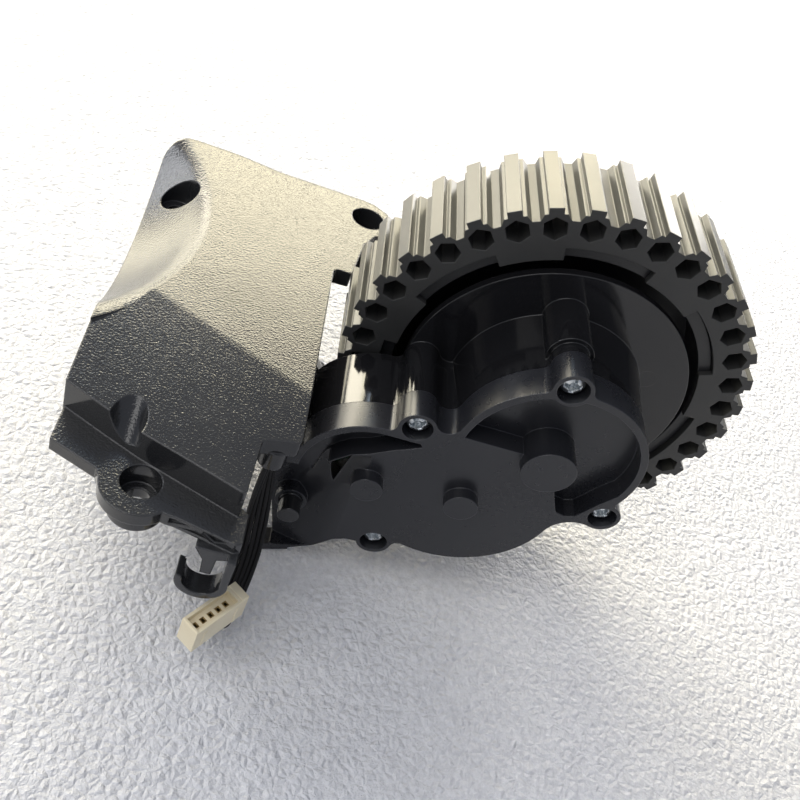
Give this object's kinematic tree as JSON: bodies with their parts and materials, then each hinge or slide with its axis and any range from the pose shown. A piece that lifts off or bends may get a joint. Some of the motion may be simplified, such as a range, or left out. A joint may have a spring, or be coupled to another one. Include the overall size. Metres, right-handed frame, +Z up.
{
  "type": "robot vacuum wheel module",
  "caption": "Sprung side wheel module for a floor cleaning robot: bracket, swinging arm with motor and gearbox, and a lugged hollow-cell tyre.",
  "frame": {"origin": "centre of the seat face under the front mounting screw boss", "axes": "+Z up through the screw hole and out of the bracket plate, +X from the bracket towards the wheel, +Y along the wheel axis away from the gearbox"},
  "size_m": [0.1098, 0.0897, 0.0764],
  "materials": {
    "bracket_plastic": "fine spark eroded grain, semi gloss",
    "cover_plastic": "satin",
    "housing_plastic": "glossy",
    "tyre_rubber": "matt",
    "rim_plastic": "satin",
    "zinc_steel": "zinc plated",
    "shaft_steel": "ground",
    "black_steel": "blackened",
    "spring_steel": "drawn wire",
    "can_steel": "nickel plated",
    "bronze": "sintered",
    "pinion_brass": "machined",
    "gear_plastic": "moulded",
    "cap_plastic": "moulded",
    "board": "solder mask",
    "magnet": "bonded ferrite",
    "wire_skin": "soft sheath",
    "plug_plastic": "ivory nylon",
    "contact_metal": "tinned"
  },
  "bodies": {
    "bracket": {"bracket_frame": "bracket_plastic", "pivot_pin": "black_steel", "pivot_clip": "spring_steel", "suspension_spring": "spring_steel", "cable": "wire_skin", "plug_housing": "plug_plastic", "plug_contacts": "contact_metal"},
    "drive_arm": {"gearbox_cover": "cover_plastic", "gearbox_housing": "housing_plastic", "gearbox_screws": "zinc_steel", "motor_can": "can_steel", "motor_end_cap": "cap_plastic", "motor_terminals": "contact_metal", "idler_shaft": "shaft_steel", "front_bush": "bronze", "rear_bush": "bronze", "encoder_board": "board"},
    "drive_wheel": {"axle_shaft": "shaft_steel", "output_gear": "gear_plastic", "wheel_rim": "rim_plastic", "tyre": "tyre_rubber", "wheel_washer": "zinc_steel", "wheel_screw": "zinc_steel"},
    "idler": {"idler_gear": "gear_plastic"},
    "motor_rotor": {"motor_shaft": "shaft_steel", "motor_pinion": "pinion_brass", "encoder_magnet": "magnet"}
  },
  "joints": [
    {"name": "suspension_swing", "type": "hinge", "parent": "bracket", "child": "drive_arm", "pos_m": [0.0237, 0.0329, -0.01], "axis": [0, 1, 0], "range_deg": [0, 30], "stiffness_Nm_per_rad": 0.1, "springref_deg": -65.89, "deforming": ["suspension_spring"]},
    {"name": "wheel_spin", "type": "hinge", "parent": "drive_arm", "child": "drive_wheel", "pos_m": [0.0593, 0.0329, 0.0167], "axis": [0, 1, 0], "continuous": true},
    {"name": "idler_spin", "type": "hinge", "parent": "drive_arm", "child": "idler", "pos_m": [0.0498, 0.0329, 0.0032], "axis": [0, 1, 0], "continuous": true},
    {"name": "motor_spin", "type": "hinge", "parent": "drive_arm", "child": "motor_rotor", "pos_m": [0.0339, 0.0329, 0.0017], "axis": [0, 1, 0], "continuous": true}
  ],
  "couplings": [
    {"joint": "idler_spin", "follows": "wheel_spin", "ratio": -4},
    {"joint": "motor_spin", "follows": "wheel_spin", "ratio": 15.692}
  ]
}
